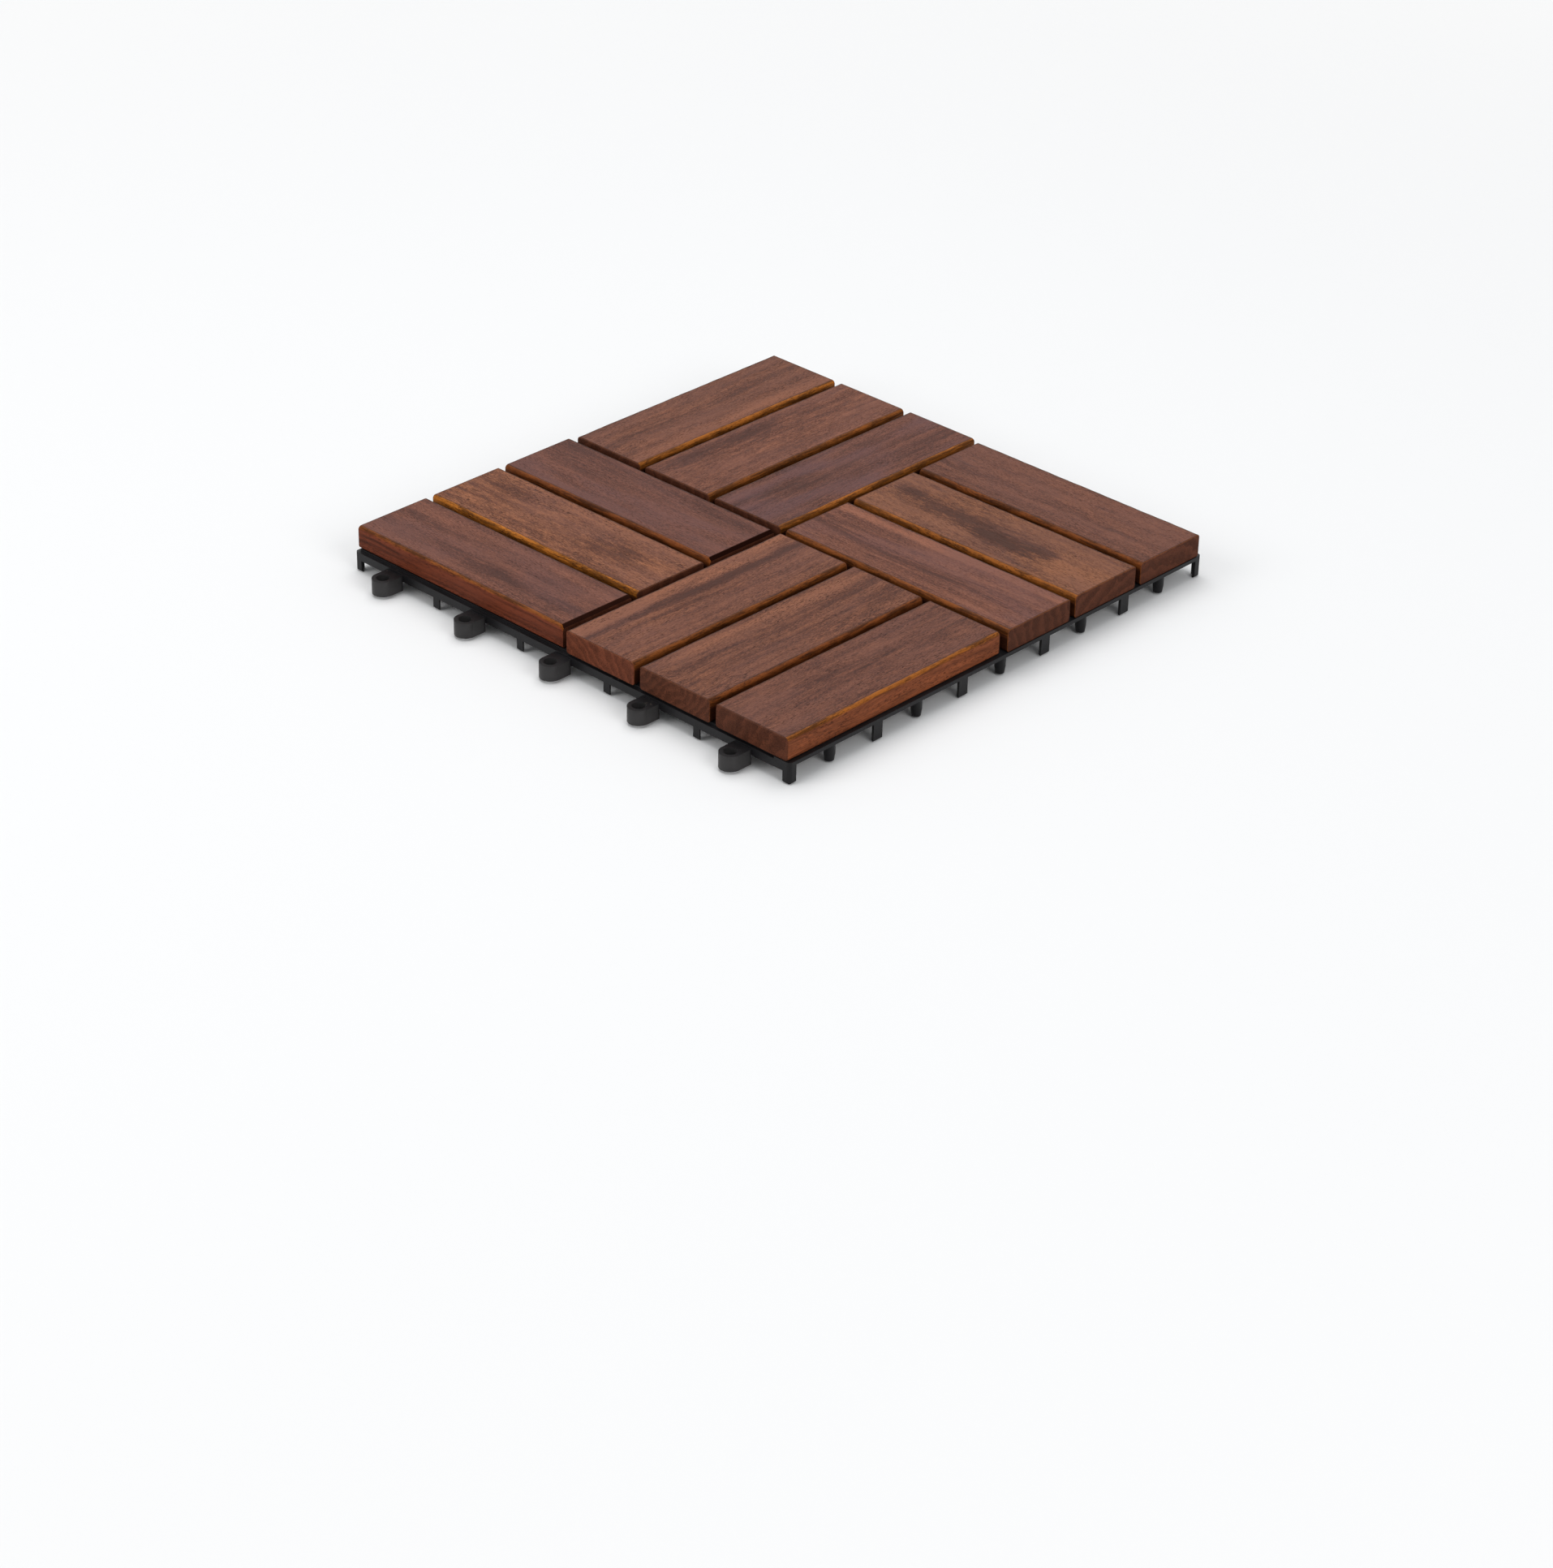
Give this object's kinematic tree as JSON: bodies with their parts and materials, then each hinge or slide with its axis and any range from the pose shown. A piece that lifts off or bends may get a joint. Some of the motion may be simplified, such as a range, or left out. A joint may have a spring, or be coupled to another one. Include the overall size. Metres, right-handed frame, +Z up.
{
  "type": "interlocking deck tile",
  "caption": "Square deck tile: hardwood slats laid in turned groups on a moulded plastic grid with feet, joined to its neighbours by loops and pegs.",
  "frame": {"origin": "the middle of the square base, on the plane of its feet", "axes": "+Z up through the slats; X and Y along the sides, with the loops on the -X and -Y sides and the pegs on the +X and +Y sides"},
  "size_m": [0.3085, 0.3085, 0.0235],
  "materials": {
    "black_plastic": "satin black injection moulding",
    "hardwood": "oiled brown hardwood with fine dark pores and eased edges",
    "screw_steel": "plain steel"
  },
  "bodies": {
    "root": {"base_grid": "black_plastic", "slat_left_1": "hardwood", "slat_front_1": "hardwood", "slat_right_1": "hardwood", "slat_back_1": "hardwood", "slat_left_2": "hardwood", "slat_front_2": "hardwood", "slat_right_2": "hardwood", "slat_back_2": "hardwood", "slat_left_3": "hardwood", "slat_front_3": "hardwood", "slat_right_3": "hardwood", "slat_back_3": "hardwood", "slat_screws": "screw_steel"}
  },
  "joints": []
}
